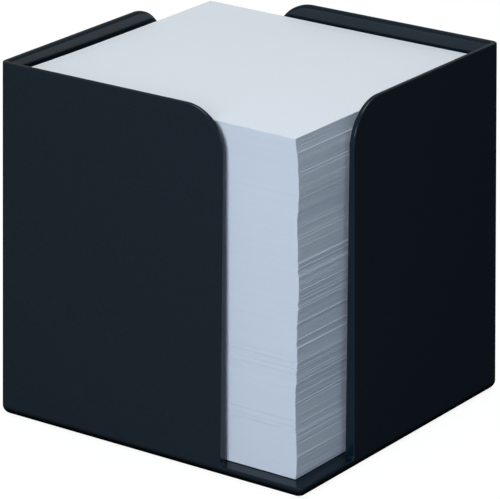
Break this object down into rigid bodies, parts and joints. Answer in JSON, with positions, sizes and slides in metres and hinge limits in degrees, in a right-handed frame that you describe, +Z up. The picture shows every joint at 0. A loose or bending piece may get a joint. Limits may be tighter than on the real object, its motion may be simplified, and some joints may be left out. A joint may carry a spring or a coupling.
{
  "type": "memo sheet holder",
  "caption": "Square moulded note box with two L-shaped walls and two open corners, filled with loose white note sheets that lift out.",
  "frame": {"origin": "centre of the holder's foot print, on the surface it stands on", "axes": "+Z up; the two open corners point to +X -Y and to -X +Y; the narrower side runs along Y"},
  "size_m": [0.1, 0.0956, 0.1002],
  "materials": {
    "holder_plastic": "fine-grained matte black moulding",
    "note_paper": "uncoated white note paper, square cut"
  },
  "bodies": {
    "holder": {"holder": "holder_plastic"},
    "lower_sheets": {"sheets_01": "note_paper", "sheets_02": "note_paper", "sheets_03": "note_paper", "sheets_04": "note_paper", "sheets_05": "note_paper", "sheets_06": "note_paper", "sheets_07": "note_paper", "sheets_08": "note_paper", "sheets_09": "note_paper", "sheets_10": "note_paper", "sheets_11": "note_paper", "sheets_12": "note_paper", "sheets_13": "note_paper", "sheets_14": "note_paper", "sheets_15": "note_paper", "sheets_16": "note_paper", "sheets_17": "note_paper", "sheets_18": "note_paper", "sheets_19": "note_paper", "sheets_20": "note_paper", "sheets_21": "note_paper", "sheets_22": "note_paper", "sheets_23": "note_paper", "sheets_24": "note_paper", "sheets_25": "note_paper", "sheets_26": "note_paper", "sheets_27": "note_paper", "sheets_28": "note_paper", "sheets_29": "note_paper", "sheets_30": "note_paper"},
    "upper_sheets": {"sheets_31": "note_paper", "sheets_32": "note_paper", "sheets_33": "note_paper", "sheets_34": "note_paper", "sheets_35": "note_paper", "sheets_36": "note_paper", "sheets_37": "note_paper", "sheets_38": "note_paper", "sheets_39": "note_paper", "sheets_40": "note_paper", "sheets_41": "note_paper", "sheets_42": "note_paper", "sheets_43": "note_paper", "sheets_44": "note_paper"},
    "top_sheet": {"top_sheet": "note_paper"}
  },
  "joints": [
    {"name": "lower_sheets_lift", "type": "slide", "parent": "holder", "child": "lower_sheets", "axis": [0, 0, 1], "range_m": [0, 0.105]},
    {"name": "upper_sheets_lift", "type": "slide", "parent": "lower_sheets", "child": "upper_sheets", "axis": [0, 0, 1], "range_m": [0, 0.045]},
    {"name": "top_sheet_lift", "type": "slide", "parent": "upper_sheets", "child": "top_sheet", "axis": [0, 0, 1], "range_m": [0, 0.03]}
  ]
}
